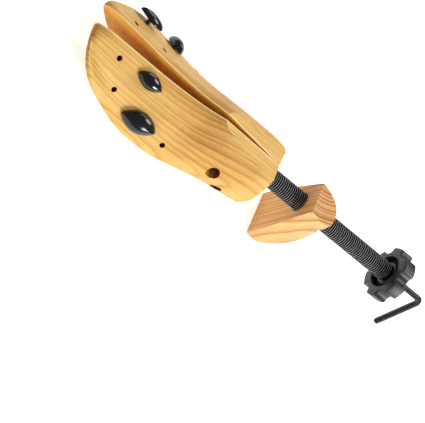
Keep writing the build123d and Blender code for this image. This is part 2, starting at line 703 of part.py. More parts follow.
for name, side, hole, length, width, height, out, turn in PLUGS:
    foot = plug_plane(hole, side, out, turn)
    with BuildPart() as plug:
        for share, size in DOME_LEVELS:
            half_length = length / 2 * size
            half_width = width / 2 * size
            with BuildSketch(foot.offset(height * share)):
                with BuildLine():
                    ThreePointArc((-half_length, 0), (0, half_width), (half_length, 0))
                    ThreePointArc((half_length, 0), (0, -half_width), (-half_length, 0))
                make_face()
        loft()
        with BuildSketch(foot):
            Circle(PLUG_HOLE_R - RUNNING)
        extrude(amount=-STEM_LENGTH)
    save(swung(plug.part, side), name)
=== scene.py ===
"""Looks of the adjustable shoe tree: materials, mesh pieces, light and camera round the CAD frame.

Row frame, metres: +X towards the toe, +Y to the tree's left, +Z up. Sizes are given in millimetres
times MM. Places along the length screw are `ahead`, counted towards the toe from the datum on its
axis, with `left` and `up` square to it.
"""
import json
import math

import bmesh
import bpy
from mathutils import Matrix, Vector
from mathutils.bvhtree import BVHTree


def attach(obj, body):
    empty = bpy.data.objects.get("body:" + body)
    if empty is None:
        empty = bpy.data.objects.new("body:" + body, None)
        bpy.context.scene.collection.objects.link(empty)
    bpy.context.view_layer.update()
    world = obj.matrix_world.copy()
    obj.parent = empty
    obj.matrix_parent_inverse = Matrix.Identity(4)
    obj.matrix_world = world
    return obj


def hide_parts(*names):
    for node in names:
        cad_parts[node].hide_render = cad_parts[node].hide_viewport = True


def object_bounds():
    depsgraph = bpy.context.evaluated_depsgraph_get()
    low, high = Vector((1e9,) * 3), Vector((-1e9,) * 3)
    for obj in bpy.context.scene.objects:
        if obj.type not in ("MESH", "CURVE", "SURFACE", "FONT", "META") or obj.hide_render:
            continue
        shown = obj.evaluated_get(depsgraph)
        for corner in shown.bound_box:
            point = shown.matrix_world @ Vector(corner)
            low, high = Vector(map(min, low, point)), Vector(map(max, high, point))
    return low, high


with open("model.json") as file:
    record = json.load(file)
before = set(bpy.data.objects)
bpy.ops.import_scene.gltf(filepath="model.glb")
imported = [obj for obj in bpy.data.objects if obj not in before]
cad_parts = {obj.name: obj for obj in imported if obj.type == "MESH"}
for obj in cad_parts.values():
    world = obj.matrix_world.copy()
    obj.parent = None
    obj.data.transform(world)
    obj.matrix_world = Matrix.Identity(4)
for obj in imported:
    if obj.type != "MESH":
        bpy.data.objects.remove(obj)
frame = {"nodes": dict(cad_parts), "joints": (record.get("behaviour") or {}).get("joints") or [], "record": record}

MM = 0.001
cad_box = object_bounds()
nodes = frame["nodes"]
joints = {joint["name"]: joint for joint in frame["joints"]}

FORWARD = Vector(joints["screw_turn"]["axis"]).normalized()
DATUM = Vector(joints["screw_turn"]["pos_m"])
LEFT = Vector((0, 1, 0))
UP = FORWARD.cross(LEFT)


def at(ahead, left=0.0, up=0.0):
    """The point at these places along and square to the screw, given in metres."""
    return DATUM + FORWARD * ahead + LEFT * left + UP * up


def span(node, way=FORWARD, start=DATUM):
    """Where a CAD node begins and ends along a direction."""
    reach = [(v.co - start).dot(way) for v in nodes[node].data.vertices]
    return min(reach), max(reach)


# ---- Camera ------------------------------------------------------------------------------------

CAMERA_AT = Vector((0.8414, 0.5649, 0.8123))
CAMERA_TURN = math.radians(-145.704)   # about the vertical, from +X, of the way it looks
CAMERA_DIP = math.radians(40.481)
CAMERA_ROLL = math.radians(89.81)
CAMERA_LENS = 136.38      # millimetres, on a sensor CAMERA_SENSOR wide
CAMERA_SENSOR = 36.0
CLIP_NEAR, CLIP_FAR = 0.05, 20.0


def make_camera():
    look = Vector((math.cos(CAMERA_TURN) * math.cos(CAMERA_DIP),
                   math.sin(CAMERA_TURN) * math.cos(CAMERA_DIP), -math.sin(CAMERA_DIP)))
    data = bpy.data.cameras.new("camera")
    data.lens = CAMERA_LENS
    data.sensor_width = CAMERA_SENSOR
    data.clip_start = CLIP_NEAR
    data.clip_end = CLIP_FAR
    camera = bpy.data.objects.new("camera", data)
    camera.location = CAMERA_AT
    level = look.to_track_quat("-Z", "Y").to_matrix()
    camera.rotation_euler = (level @ Matrix.Rotation(CAMERA_ROLL, 3, "Z")).to_euler()
    bpy.context.scene.collection.objects.link(camera)
    bpy.context.scene.camera = camera


# ---- Light and floor ---------------------------------------------------------------------------

# name, place from the middle of the tree, diameter in metres, power in watts
LIGHTS = (("key_light", (-0.95, 0.95, 0.60), 0.55, 20),
          ("top_light", (-0.60, -0.45, 1.15), 0.70, 10),
          ("far_light", (-0.10, -1.20, 0.75), 0.90, 6),
          ("front_light", (0.90, 0.75, 0.35), 0.35, 1.2))
WORLD_STRENGTH = 0.30
FLOOR_GLOW = 0.62         # keeps the paper near white where the lights fall off
FLOOR_REACH = 4.0


def area_light(name, place, target, size, power):
    data = bpy.data.lights.new(name, "AREA")
    data.shape = "DISK"
    data.size = size
    data.energy = power
    light = bpy.data.objects.new(name, data)
    light.location = place
    light.rotation_euler = (Vector(target) - Vector(place)).to_track_quat("-Z", "Y").to_euler()
    bpy.context.scene.collection.objects.link(light)


def make_light():
    middle = (cad_box[0] + cad_box[1]) / 2
    for name, offset, size, power in LIGHTS:
        area_light(name, middle + Vector(offset), middle, size, power)
    world = bpy.data.worlds.new("studio")
    bpy.context.scene.world = world
    world.use_nodes = True
    background = world.node_tree.nodes["Background"]
    background.inputs["Color"].default_value = (1.0, 1.0, 1.0, 1)
    background.inputs["Strength"].default_value = WORLD_STRENGTH
    bpy.context.scene.view_settings.view_transform = "Standard"


# ---- Material graphs ---------------------------------------------------------------------------

class Graph:
    """A material's node tree, with one short call for each node."""

    def __init__(self, name):
        self.material = bpy.data.materials.new(name)
        self.material.use_nodes = True
        self.tree = self.material.node_tree
        self.tree.nodes.clear()

    def node(self, kind, sockets=(), **settings):
        made = self.tree.nodes.new(kind)
        for name, value in settings.items():
            setattr(made, name, value)
        for socket, value in dict(sockets).items():
            target = made.inputs[socket]
            if isinstance(value, bpy.types.NodeSocket):
                self.tree.links.new(value, target)
            else:
                target.default_value = value
        return made

    def math(self, operation, first, second=0.0, third=0.0):
        sockets = {0: first, 1: second, 2: third}
        return self.node("ShaderNodeMath", sockets, operation=operation).outputs[0]

    def vector(self, operation, first, second=(0, 0, 0)):
        made = self.node("ShaderNodeVectorMath", {0: first, 1: second}, operation=operation)
        return made.outputs["Value" if operation in ("DOT_PRODUCT", "LENGTH") else "Vector"]

    def stretched(self, place, scale):
        return self.vector("MULTIPLY", place, scale)

    def noise(self, place, scale, detail=3.0, roughness=0.5, distortion=0.0):
        sockets = {"Vector": place, "Scale": scale, "Detail": detail, "Roughness": roughness,
                   "Distortion": distortion}
        return self.node("ShaderNodeTexNoise", sockets).outputs["Fac"]

    def ramp(self, value, stops):
        """A straight-line ramp through (place, shade) stops; a shade is a grey or a colour."""
        made = self.node("ShaderNodeValToRGB", {"Fac": value})
        elements = made.color_ramp.elements
        while len(elements) < len(stops):
            elements.new(0.5)
        for element, (place, shade) in zip(elements, stops):
            element.position = place
            element.color = (shade, shade, shade, 1) if isinstance(shade, (int, float)) else (*shade, 1)
        return made.outputs["Color"]

    def mix(self, share, first, second, blend="MIX"):
        first = (*first, 1) if isinstance(first, tuple) else first
        second = (*second, 1) if isinstance(second, tuple) else second
        made = self.node("ShaderNodeMix", {0: share, 6: first, 7: second}, data_type="RGBA",
                         blend_type=blend)
        return made.outputs[2]

    def bump(self, height, distance, strength=1.0, under=None):
        sockets = {"Height": height, "Distance": distance, "Strength": strength}
        if under is not None:
            sockets["Normal"] = under
        return self.node("ShaderNodeBump", sockets).outputs["Normal"]

    def finish(self, **sockets):
        names = {"color": "Base Color", "roughness": "Roughness", "metallic": "Metallic",
                 "normal": "Normal", "specular": "Specular IOR Level",
                 "glow": "Emission Color", "glow_strength": "Emission Strength"}
        named = {names[key]: value for key, value in sockets.items()}
        shader = self.node("ShaderNodeBsdfPrincipled", named)
        self.node("ShaderNodeOutputMaterial", {"Surface": shader.outputs[0]})
        return self.material


PINE_EDGE_HIGHLIGHT = (0.98, 0.77, 0.38)     # painted highlight along the sawn edges
EDGE_HIGHLIGHT_WIDTH = 1.3 * MM             # the strip of painted highlight beside a sawn face
# darker end grain, and partly painted shade on faces turned along the fibres
END_SHADE = (0.62, 0.46, 0.32)
BLOTCH = (0.93, 0.79, 0.60)
FLECK = (0.60, 0.40, 0.22)
WANDER = 3.2                       # in ring widths: how far the trunk strays from round
WAVES = 0.45                       # in ring widths: the small waves along each ring
UNEVEN = 1.8                       # in ring widths: wide and narrow years
WOOD_RELIEF = 0.05 * MM
WOOD_ROUGHNESS = 0.52
WOOD_SPECULAR = 0.18


def wood(name, grain, pith, ring, pale, dark, contrast=0.70, end_shade=END_SHADE,
         shade=(1, 1, 1), edge_highlight=None):
    """Softwood, as growth rings round a pith line, cut by the surface wherever it runs.

    grain is the way the fibres run, pith a point on the rings' centre line, and ring the width of one
    year's growth. pale and dark are the early and the late wood's colours, end_shade multiplies both
    on end grain, as darker end grain and partly as painted shade on faces turned along the fibres, and
    shade, which carries painted shade, multiplies everywhere. contrast is how strongly the late wood
    shows. edge_highlight is a plane, as its way and how far along that it lies, beside which a painted
    highlight lies along the edge.
    Noise scales are features per metre, and `local` runs along the fibres in its first coordinate.
    """
    g = Graph(name)
    coordinates = g.node("ShaderNodeTexCoord")
    turn = grain.normalized().rotation_difference(Vector((1, 0, 0)))
    shift = -(turn @ pith)
    local = g.node("ShaderNodeMapping", {"Vector": coordinates.outputs["Object"], "Location": shift,
                                         "Rotation": turn.to_euler()}, vector_type="POINT").outputs[0]
    # the trunk's slow wander, and small waves along each ring
    wander = g.noise(g.stretched(local, (0.30, 1, 1)), 11.0, 1.0)
    waves = g.noise(g.stretched(local, (0.16, 1, 1)), 90.0, 2.0)
    parts = g.node("ShaderNodeSeparateXYZ", {0: local})
    across = g.node("ShaderNodeCombineXYZ", {1: parts.outputs[1], 2: parts.outputs[2]}).outputs[0]
    radius = g.vector("LENGTH", across)
    radius = g.math("MULTIPLY_ADD", wander, WANDER * ring, radius)
    radius = g.math("MULTIPLY_ADD", waves, WAVES * ring, radius)
    years = g.math("DIVIDE", radius, ring)
    uneven = g.node("ShaderNodeTexNoise", {"W": years, "Scale": 0.45, "Detail": 1.0},
                    noise_dimensions="1D").outputs["Fac"]
    years = g.math("MULTIPLY_ADD", uneven, UNEVEN, years)
    # pale early wood, which darkens slowly to the late wood and then starts again
    late = g.ramp(g.math("FRACT", years), [(0.0, 0.35), (0.10, 0.03), (0.42, 0.10), (0.70, 0.48),
                                           (0.88, 1.0), (1.0, 0.62)])
    faded = g.noise(g.stretched(local, (0.25, 1, 1)), 26.0, 2.0)
    strength = g.ramp(faded, [(0.32, 0.65), (0.68, 1.0)])
    # fibres, and short dark flecks
    fibres = g.noise(g.stretched(local, (0.035, 1, 1)), 2400.0, 4.0, 0.6)
    coarse_fibres = g.noise(g.stretched(local, (0.03, 1, 1)), 620.0, 3.0, 0.65)
    flecks = g.ramp(g.noise(g.stretched(local, (0.05, 1, 1)), 1200.0, 2.0), [(0.64, 0.0), (0.74, 1.0)])
    # where the surface cuts across the fibres: darker end grain, spread wide so that it also paints shade on the
    # toe and the hollow before the instep
    facing = g.math("ABSOLUTE", g.vector("DOT_PRODUCT", coordinates.outputs["Normal"], tuple(grain)))
    end_grain_and_shade = g.ramp(facing, [(0.06, 0.0), (0.22, 0.45), (0.60, 0.85), (1.0, 1.0)])
    depth = g.math("MULTIPLY", g.math("MULTIPLY", late, strength), contrast)
    depth = g.math("MULTIPLY_ADD", g.math("MULTIPLY", end_grain_and_shade, late), 0.40, depth)
    tint = g.mix(depth, pale, dark)
    blotches = g.noise(g.stretched(local, (0.30, 1, 1)), 34.0, 3.0)
    tint = g.mix(g.ramp(blotches, [(0.38, 0.0), (0.70, 0.8)]), tint, BLOTCH, "MULTIPLY")
    tint = g.mix(0.35, tint, g.ramp(fibres, [(0.3, 0.60), (0.7, 1.0)]), "MULTIPLY")
    tint = g.mix(0.45, tint, g.ramp(coarse_fibres, [(0.32, 0.62), (0.68, 1.0)]), "MULTIPLY")
    tint = g.mix(g.math("MULTIPLY", flecks, 0.35), tint, FLECK, "MULTIPLY")
    tint = g.mix(end_grain_and_shade, tint, g.mix(1.0, tint, end_shade, "MULTIPLY"))
    tint = g.mix(1.0, tint, shade, "MULTIPLY")
    # a painted highlight along the sawn edge, beside the edge_highlight plane
    if edge_highlight is not None:
        way, reach = edge_highlight
        place = g.vector("DOT_PRODUCT", coordinates.outputs["Object"], tuple(way))
        beyond = g.math("SUBTRACT", place, reach)
        highlit = g.math("DIVIDE", g.math("MULTIPLY_ADD", coarse_fibres, 0.3 * MM, beyond), EDGE_HIGHLIGHT_WIDTH)
        tint = g.mix(g.ramp(highlit, [(0.50, 0.80), (1.0, 0.0)]), tint, PINE_EDGE_HIGHLIGHT)
    relief = g.math("MULTIPLY_ADD", fibres, 0.5, g.math("MULTIPLY", late, 0.6))
    normal = g.bump(relief, WOOD_RELIEF, 0.6)
    roughness = g.math("MULTIPLY_ADD", late, -0.08, WOOD_ROUGHNESS)
    return g.finish(color=tint, roughness=roughness, normal=normal, specular=WOOD_SPECULAR)


FLOW_TINT = 1.6           # how much paler the flow marks are
STAIN_TINT = 0.7          # how much darker the stains are
DRAWN_MARKS = 0.012 * MM


def moulded(name, color, roughness, relief=0.01 * MM, crest_highlight=None, specular=0.5):
    """Injection-moulded plastic: a fine grain, faint flow marks and uneven gloss.

    crest_highlight is the colour of a painted highlight along the thread's crests, which fades to nothing at the
    roots.
    """
    g = Graph(name)
    place = g.node("ShaderNodeTexCoord").outputs["Object"]
    grain = g.noise(place, 3600.0, 2.0)
    flow = g.noise(place, 60.0, 3.0, 0.6, 0.8)
    tint = g.mix(g.ramp(flow, [(0.35, 0.0), (0.7, 1.0)]), color, tuple(c * FLOW_TINT for c in color))
    if crest_highlight is not None:
        # a painted highlight along the thread's crests, broken up by noise
        beside = g.vector("CROSS_PRODUCT", g.vector("SUBTRACT", place, tuple(DATUM)), tuple(FORWARD))
        height = g.math("SUBTRACT", g.vector("LENGTH", beside), ROOT_R)
        height = g.math("DIVIDE", height, CREST_R - ROOT_R)
        highlight_breaks = g.ramp(g.noise(place, 420.0, 3.0), [(0.30, 0.55), (0.62, 1.0)])
        crest = g.ramp(height, [(0.0, 0.0), (0.90, 0.01), (0.975, 0.9), (1.0, 1.0)])
        tint = g.mix(g.math("MULTIPLY", crest, highlight_breaks), tint, crest_highlight)
    rough = g.math("MULTIPLY_ADD", flow, 0.16, roughness - 0.08)
    normal = g.bump(grain, relief, 0.5)
    return g.finish(color=tint, roughness=rough, normal=normal, specular=specular)


def metal(name, color, roughness):
    """Metal with fine drawn or turned marks along the screw, and slight stains."""
    g = Graph(name)
    place = g.node("ShaderNodeTexCoord").outputs["Object"]
    turn = FORWARD.rotation_difference(Vector((1, 0, 0)))
    local = g.node("ShaderNodeMapping", {"Vector": place, "Rotation": turn.to_euler()}).outputs[0]
    drawn = g.noise(g.stretched(local, (0.02, 1, 1)), 4000.0, 3.0, 0.7)
    stains = g.noise(place, 120.0, 4.0, 0.6)
    tint = g.mix(g.ramp(stains, [(0.35, 0.0), (0.72, 1.0)]), color, tuple(c * STAIN_TINT for c in color))
    rough = g.math("MULTIPLY_ADD", drawn, 0.22, roughness - 0.08)
    return g.finish(color=tint, roughness=rough, metallic=1.0, normal=g.bump(drawn, DRAWN_MARKS, 0.6))


def paper_floor():
    g = Graph("floor_paper")
    place = g.node("ShaderNodeTexCoord").outputs["Object"]
    mottle = g.noise(place, 30.0, 3.0)
    tint = g.mix(mottle, (0.90, 0.90, 0.90), (0.94, 0.94, 0.94))
    return g.finish(color=tint, roughness=0.8, glow=(1, 1, 1, 1), glow_strength=FLOOR_GLOW)


# ---- Mesh tools --------------------------------------------------------------------------------

CAD_WELD = 0.002 * MM    # vertices of a CAD mesh nearer than this are joined
WELD = 0.001 * MM        # and those of a mesh made here
RAY_LIFT = 0.05 * MM
HOLE_REACH = 12.0 * MM   # walls nearer to each other than this belong to a hole or pocket, and get painted shade
SAWN_FACING = 0.995      # cosine, above which a face looks along the sawn face's way
CREASE_TURN = 6.0        # degrees between two surfaces that still show as a crease
BEVEL_TURN = 40.0        # degrees, from which an edge is eased
EASED_EDGE = 0.35 * MM

def piece(name, vertices, faces, material, body, slot, *stands_for):
    """A mesh piece that rides on a body and stands for CAD nodes."""
    data = bpy.data.meshes.new(name)
    data.from_pydata([tuple(v) for v in vertices], [], faces)
    data.validate()
    data.polygons.foreach_set("use_smooth", [True] * len(data.polygons))
    data.materials.append(material)
    data.update()
    made = bpy.data.objects.new(name, data)
    bpy.context.scene.collection.objects.link(made)
    return placed(made, body, slot, *stands_for)


def placed(made, body, slot, *stands_for):
    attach(made, body)
    if stands_for:
        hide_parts(*stands_for)
    return made


def skin(rings, close_start=False, close_end=False):
    """Vertices and faces of rings of equal length, joined in order."""
    count = len(rings[0])
    vertices = [point for ring in rings for point in ring]
    faces = []
    for level in range(len(rings) - 1):
        for step in range(count):
            after = (step + 1) % count
            low, high = level * count, (level + 1) * count
            faces.append((low + step, low + after, high + after, high + step))
    if close_start:
        faces.append(tuple(reversed(range(count))))
    if close_end:
        faces.append(tuple(range(len(vertices) - count, len(vertices))))
    return vertices, faces


def joined(*shells):
    """One list of vertices and faces out of several."""
    vertices, faces = [], []
    for points, polygons in shells:
        start = len(vertices)
        vertices += points
        faces += [tuple(index + start for index in polygon) for polygon in polygons]
    return vertices, faces


def turned(outline):
    """Rings of a body of revolution about the screw's axis, from (ahead, radius) pairs."""
    turns = [2 * math.pi * step / SCREW_STEPS for step in range(SCREW_STEPS)]
    return [[at(ahead, r * math.cos(t), r * math.sin(t)) for t in turns] for ahead, r in outline]


def welded(made):
    """The mesh with vertices that lie on each other joined, and its faces looking outwards."""
    shape = bmesh.new()
    shape.from_mesh(made.data)
    bmesh.ops.remove_doubles(shape, verts=shape.verts, dist=WELD)
    bmesh.ops.recalc_face_normals(shape, faces=shape.faces)
    shape.to_mesh(made.data)
    shape.free()
    return made


def crisp(made, angle):
    """Sharp shading across edges steeper than `angle` degrees."""
    data = made.data
    shape = bmesh.new()
    shape.from_mesh(data)
    for edge in shape.edges:
        edge.smooth = not (edge.is_manifold and edge.calc_face_angle() > math.radians(angle))
    shape.to_mesh(data)
    shape.free()
    return made


def islands(shape):
    """A number for each face, the same over each surface that the CAD mesh keeps in one piece."""
    numbers = {}
    for first in shape.faces:
        if first in numbers:
            continue
        queue = [first]
        numbers[first] = first.index
        while queue:
            for edge in queue.pop().edges:
                for face in edge.link_faces:
                    if face not in numbers:
                        numbers[face] = first.index
                        queue.append(face)
    return numbers


def refined(node, body, slot, materials, sawn_way=None):
    """A CAD node's shape with crisp creases and eased edges, as a piece of its own.

    materials are the outer wood, the wood of drilled walls, darkened by painted shade and some drilling
    burn, and that of the sawn face, darkened by painted shade, which is the one that looks along
    sawn_way. A face belongs to a drilled wall, and gets its painted shade, if another wall is close
    in front of it.
    """
    data = nodes[node].data.copy()
    data.name = node + "_refined"
    data.materials.clear()
    for material in materials:
        data.materials.append(material)
    shape = bmesh.new()
    shape.from_mesh(data)
    surface = shape.faces.layers.int.new("surface")
    for face, number in islands(shape).items():
        face[surface] = number
    bmesh.ops.remove_doubles(shape, verts=shape.verts, dist=CAD_WELD)
    bmesh.ops.dissolve_degenerate(shape, edges=shape.edges, dist=CAD_WELD)
    tree = BVHTree.FromBMesh(shape)
    for face in shape.faces:
        face.smooth = True
        middle = face.calc_center_median()
        # faces with another wall close in front, in holes and pockets, get painted shade
        hit = tree.ray_cast(middle + face.normal * RAY_LIFT, face.normal, HOLE_REACH)[0]
        face.material_index = 1 if hit is not None else 0
        # the sawn face gets painted shade
        if sawn_way is not None and face.normal.dot(sawn_way) > SAWN_FACING:
            face.material_index = 2
    weight = shape.edges.layers.float.new("bevel_weight_edge")
    for edge in shape.edges:
        if not edge.is_manifold:
            continue
        sides = {face[surface] for face in edge.link_faces}
        turn = math.degrees(edge.calc_face_angle())
        edge.smooth = not (len(sides) > 1 and turn > CREASE_TURN)
        edge[weight] = 1.0 if turn > BEVEL_TURN else 0.0
    shape.to_mesh(data)
    shape.free()
    if "custom_normal" in data.attributes:
        data.attributes.remove(data.attributes["custom_normal"])
    made = bpy.data.objects.new(node + "_refined", data)
    bpy.context.scene.collection.objects.link(made)
    edges = made.modifiers.new("edges", "BEVEL")
    edges.width = EASED_EDGE
    edges.segments = 2
    edges.limit_method = "WEIGHT"
    edges.miter_outer = "MITER_ARC"
    normals = made.modifiers.new("normals", "WEIGHTED_NORMAL")
    normals.keep_sharp = True
    return placed(made, body, slot, node)


# ---- The length screw --------------------------------------------------------------------------

PITCH = 2.0 * MM
CREST_R = 8.0 * MM
ROOT_R = 7.1 * MM
BORE_R = 3.2 * MM
JOURNAL_R = 5.5 * MM
THREAD_REAR = -103.0 * MM
THREAD_FRONT = 44.4 * MM
RUN_OUT = 2.4 * MM       # the thread fades out over this length at the rear, and half at the front
SCREW_EASE = 0.4 * MM
RINGS_PER_PITCH = 12
SCREW_STEPS = 72


def thread_height(ahead, turn):
    """The thread's height as a share of its depth: rounded crests with V grooves between them."""
    phase = (ahead / PITCH - turn / (2 * math.pi)) % 1.0
    return max(0.0, math.sin(math.pi * phase)) ** 0.75


def make_screw(material):
    """The screw's surface: helical threads, then a plain journal, round a bore."""
    rear, front = span("length_screw")
    turns = [2 * math.pi * step / SCREW_STEPS for step in range(SCREW_STEPS)]
    rows = round((THREAD_FRONT - THREAD_REAR) / PITCH * RINGS_PER_PITCH)
    rings = []
    for row in range(rows + 1):
        ahead = THREAD_REAR + (THREAD_FRONT - THREAD_REAR) * row / rows
        fade = min(1.0, (ahead - THREAD_REAR) / RUN_OUT, (THREAD_FRONT - ahead) / (RUN_OUT / 2))
        ring = []
        for turn in turns:
            radius = ROOT_R + (CREST_R - ROOT_R) * thread_height(ahead, turn) * fade
            ring.append(at(ahead, radius * math.cos(turn), radius * math.sin(turn)))
        rings.append(ring)
    rear_end = turned([(rear, BORE_R), (rear, ROOT_R - SCREW_EASE), (rear + SCREW_EASE, ROOT_R)])
    front_end = turned([(THREAD_FRONT, JOURNAL_R), (front - SCREW_EASE, JOURNAL_R),
                        (front, JOURNAL_R - SCREW_EASE), (front, BORE_R)])
    vertices, faces = skin(rear_end + rings + front_end + rear_end[:1])
    made = piece("threaded_screw", vertices, faces, material, "length_screw", "screw_plastic",
                 "length_screw")
    return crisp(welded(made), 50)


# ---- The length knob ---------------------------------------------------------------------------

KNOB_R = 22.6 * MM
KNOB_T = 12.5 * MM
LOBES = 6
NOTCH_R = 6.2 * MM
NOTCH_CENTRE = 24.6 * MM
FIRST_NOTCH = math.radians(10)
RECESS_R = 14.2 * MM
RECESS_DEPTH = 8.0 * MM
BOSS_R = 10.0 * MM
BOSS_SET_BACK = 2.5 * MM
LOBE_BLEND = 0.7 * MM    # rounds the corners between lobes and notches
KNOB_EDGE = 1.4 * MM
KNOB_STEPS = 240
KNOB_EASE = 0.5 * MM     # on the recess and the boss
HUB_R = 7.0 * MM         # flat round the bore at the back, inside a shallow groove
HUB_MARGIN = 0.6 * MM
GROOVE_INNER_R = 8.4 * MM
GROOVE_OUTER_R = 15.0 * MM
GROOVE_SLOPE = 0.9 * MM
GROOVE_DEPTH = 1.0 * MM
SEAT_CLEARANCE = 0.1 * MM
SEAT_DEPTH = 4.0 * MM    # of the mouth in the boss that the screw goes into


def lobe_radius(turn):
    """The knob's outline: a circle with round notches, its corners eased."""
    off = (turn - FIRST_NOTCH + math.pi / LOBES) % (2 * math.pi / LOBES) - math.pi / LOBES
    reach = NOTCH_R ** 2 - (NOTCH_CENTRE * math.sin(off)) ** 2
    if reach <= 0:
        return KNOB_R
    notch = NOTCH_CENTRE * math.cos(off) - math.sqrt(reach)
    gap = max(0.0, LOBE_BLEND - abs(KNOB_R - notch)) / LOBE_BLEND
    return min(KNOB_R, notch) - gap * gap * LOBE_BLEND / 4


def make_knob(material):
    """The knob's surface, from its back round its lobes and into the recess, in order."""
    front = span("length_knob")[1]
    back = front - KNOB_T
    recess = front - RECESS_DEPTH
    boss = front - BOSS_SET_BACK
    turns = [2 * math.pi * step / KNOB_STEPS for step in range(KNOB_STEPS)]

    def ring(ahead, inset=None, radius=None):
        radii = [radius if inset is None else lobe_radius(turn) - inset for turn in turns]
        return [at(ahead, r * math.cos(t), r * math.sin(t)) for r, t in zip(radii, turns)]

    def rounded(a):
        """The two distances of an eased edge from its corner, at this angle of its arc."""
        return KNOB_EDGE * (1 - math.sin(a)), KNOB_EDGE * (1 - math.cos(a))

    rings = [ring(back, radius=BORE_R), ring(back, radius=HUB_R),
             ring(back, radius=HUB_R + HUB_MARGIN),
             ring(back + GROOVE_DEPTH, radius=GROOVE_INNER_R),
             ring(back + GROOVE_DEPTH, radius=GROOVE_OUTER_R),
             ring(back, radius=GROOVE_OUTER_R + GROOVE_SLOPE), ring(back, inset=KNOB_EDGE)]
    arc = [math.radians(angle) for angle in (0, 22.5, 45, 67.5, 90)]
    rings += [ring(back + rounded(a)[1], inset=rounded(a)[0]) for a in arc[1:]]
    rings += [ring(front - rounded(a)[0], inset=rounded(a)[1]) for a in arc]
    walls = [(front, RECESS_R + KNOB_EASE), (front - KNOB_EASE, RECESS_R),
             (recess + KNOB_EASE, RECESS_R), (recess, RECESS_R - KNOB_EASE),
             (recess, BOSS_R + KNOB_EASE), (recess + KNOB_EASE, BOSS_R),
             (boss - KNOB_EASE, BOSS_R), (boss, BOSS_R - KNOB_EASE),
             (boss, ROOT_R + SEAT_CLEARANCE), (boss - SEAT_DEPTH, ROOT_R), (back, BORE_R)]
    rings += [ring(ahead, radius=radius) for ahead, radius in walls]
    vertices, faces = skin(rings)
    made = piece("lobed_knob", vertices, faces, material, "length_screw", "knob_plastic", "length_knob")
    return crisp(welded(made), 40)


# ---- The crank rod -----------------------------------------------------------------------------

ROD_FLATS = 5.0 * MM
ARM_AHEAD = -147.3 * MM
ARM_LENGTH = 49.0 * MM
ARM_LEAN = math.radians(18)
BEND_R = 5.5 * MM
BEND_STEPS = 16
EDGE_SHARE = 0.10        # how much of each flat the rounded edge takes, at either end
TIP_EASE = (0.4 * MM, 0.5 * MM)    # length of the eased tip, inside the tree and on the arm
TIP_SHARE = (0.86, 0.84)           # and its width there


def hexagon():
    """Corners of the rod's section, each one eased into two points."""
    corner_r = ROD_FLATS / math.sqrt(3)
    turns = [math.radians(60 * k) for k in range(6)]
    corners = [Vector((corner_r * math.cos(turn), corner_r * math.sin(turn))) for turn in turns]
    points = []
    for corner, before, after in zip(corners, corners[-1:] + corners[:-1], corners[1:] + corners[:1]):
        points += [corner.lerp(before, EDGE_SHARE), corner.lerp(after, EDGE_SHARE)]
    return points


def make_crank(material):
    """The hexagonal rod, drawn along its axis, round the bend and down its arm."""
    front = span("crank_rod")[1]
    arm_way = LEFT * math.sin(ARM_LEAN) - UP * math.cos(ARM_LEAN)
    back_way = -FORWARD
    corner = at(ARM_AHEAD)
    side = back_way.cross(arm_way).normalized()
    path = [(at(front), back_way), (at(front - TIP_EASE[0]), back_way)]
    arc_start = corner - back_way * BEND_R
    centre = arc_start + arm_way * BEND_R
    for step in range(BEND_STEPS + 1):
        turn = math.pi / 2 * step / BEND_STEPS
        place = centre - arm_way * BEND_R * math.cos(turn) + back_way * BEND_R * math.sin(turn)
        path.append((place, back_way * math.cos(turn) + arm_way * math.sin(turn)))
    end = corner + arm_way * ARM_LENGTH
    path += [(end - arm_way * TIP_EASE[1], arm_way), (end, arm_way)]
    shares = [TIP_SHARE[0]] + [1.0] * (len(path) - 2) + [TIP_SHARE[1]]
    # the section's own axes: across the bend's plane, and in it
    tilt = math.atan2(side.dot(UP), side.dot(LEFT))
    rings = []
    for (place, way), share in zip(path, shares):
        other = way.cross(side)
        ring = []
        for point in hexagon():
            angle = math.atan2(point.y, point.x) - tilt
            reach = point.length * share
            ring.append(place + side * reach * math.cos(angle) - other * reach * math.sin(angle))
        rings.append(ring)
    vertices, faces = skin(rings, close_start=True, close_end=True)
    made = piece("hexagon_crank", vertices, faces, material, "crank", "rod_steel", "crank_rod")
    return crisp(made, 22)


# ---- The plugs ---------------------------------------------------------------------------------

STEM_LENGTH = 9.0 * MM
STEM_R = 2.15 * MM
STEM_STEPS = 24
OUTLINE_STEPS = 96
DOME_STEPS = 14
LIP = 0.45 * MM          # height of the rounded lower edge
POINT_EASE = 0.012       # how much of its length each point of the outline loses
TOP_SHARE = 0.012        # the last ring's size, at the top of the dome
STEM_RIBS = [(0.0, 1.0), (-0.10, 1.0), (-0.12, 0.86), (-0.30, 0.98), (-0.32, 0.86), (-0.50, 0.98),
             (-0.52, 0.86), (-0.70, 0.98), (-0.72, 0.86), (-0.93, 0.94), (-1.0, 0.70)]


